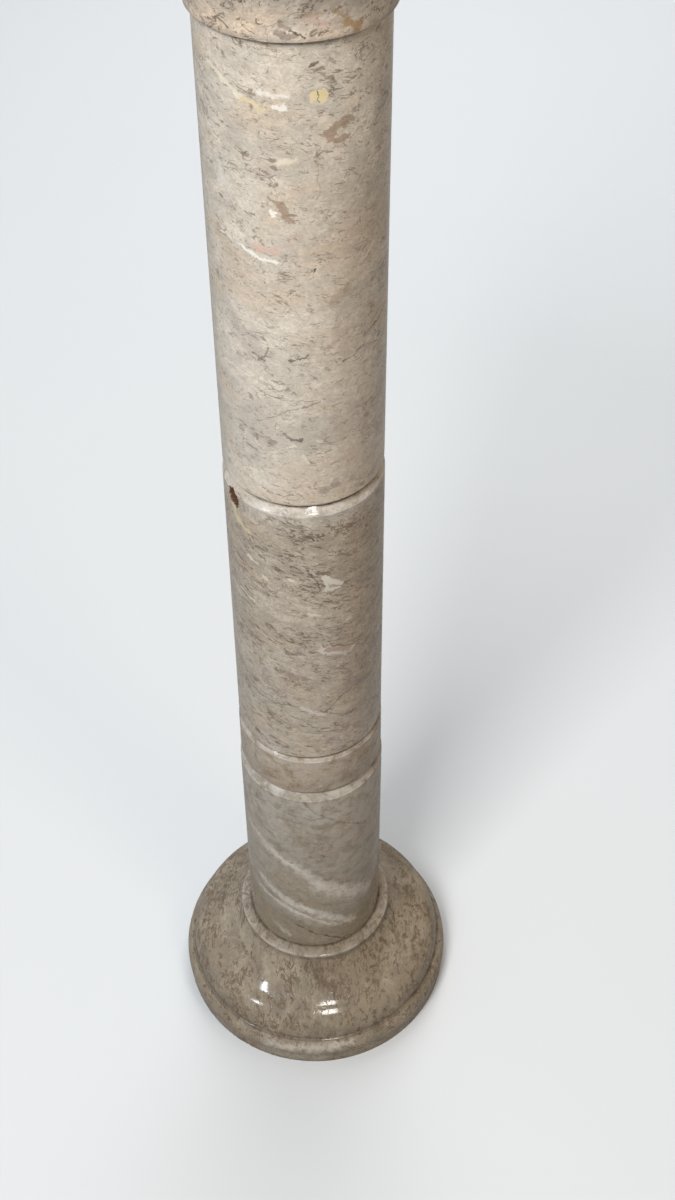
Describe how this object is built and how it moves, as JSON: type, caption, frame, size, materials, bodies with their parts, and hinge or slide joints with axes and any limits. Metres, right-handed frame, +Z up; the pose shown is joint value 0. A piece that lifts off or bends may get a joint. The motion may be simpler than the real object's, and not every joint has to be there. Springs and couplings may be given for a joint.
{
  "type": "marble column",
  "caption": "Round turned marble column with a domed, moulded base, a plain shaft marked by V-grooves and a flared capital with a flat top.",
  "frame": {"origin": "centre of the underside of the base, on the floor", "axes": "+Z up along the axis of the column; -Y towards the side the picture was taken from, with the chip in the middle drum's upper lip towards -X"},
  "size_m": [0.2524, 0.2524, 1.0758],
  "materials": {
    "base_marble": "polished",
    "lower_drum_marble": "polished",
    "ring_marble": "polished",
    "middle_drum_marble": "polished",
    "upper_drum_marble": "polished",
    "capital_marble": "polished"
  },
  "bodies": {
    "root": {"base": "base_marble", "lower_drum": "lower_drum_marble", "shaft_ring": "ring_marble", "middle_drum": "middle_drum_marble", "upper_drum": "upper_drum_marble", "capital": "capital_marble"}
  },
  "joints": []
}
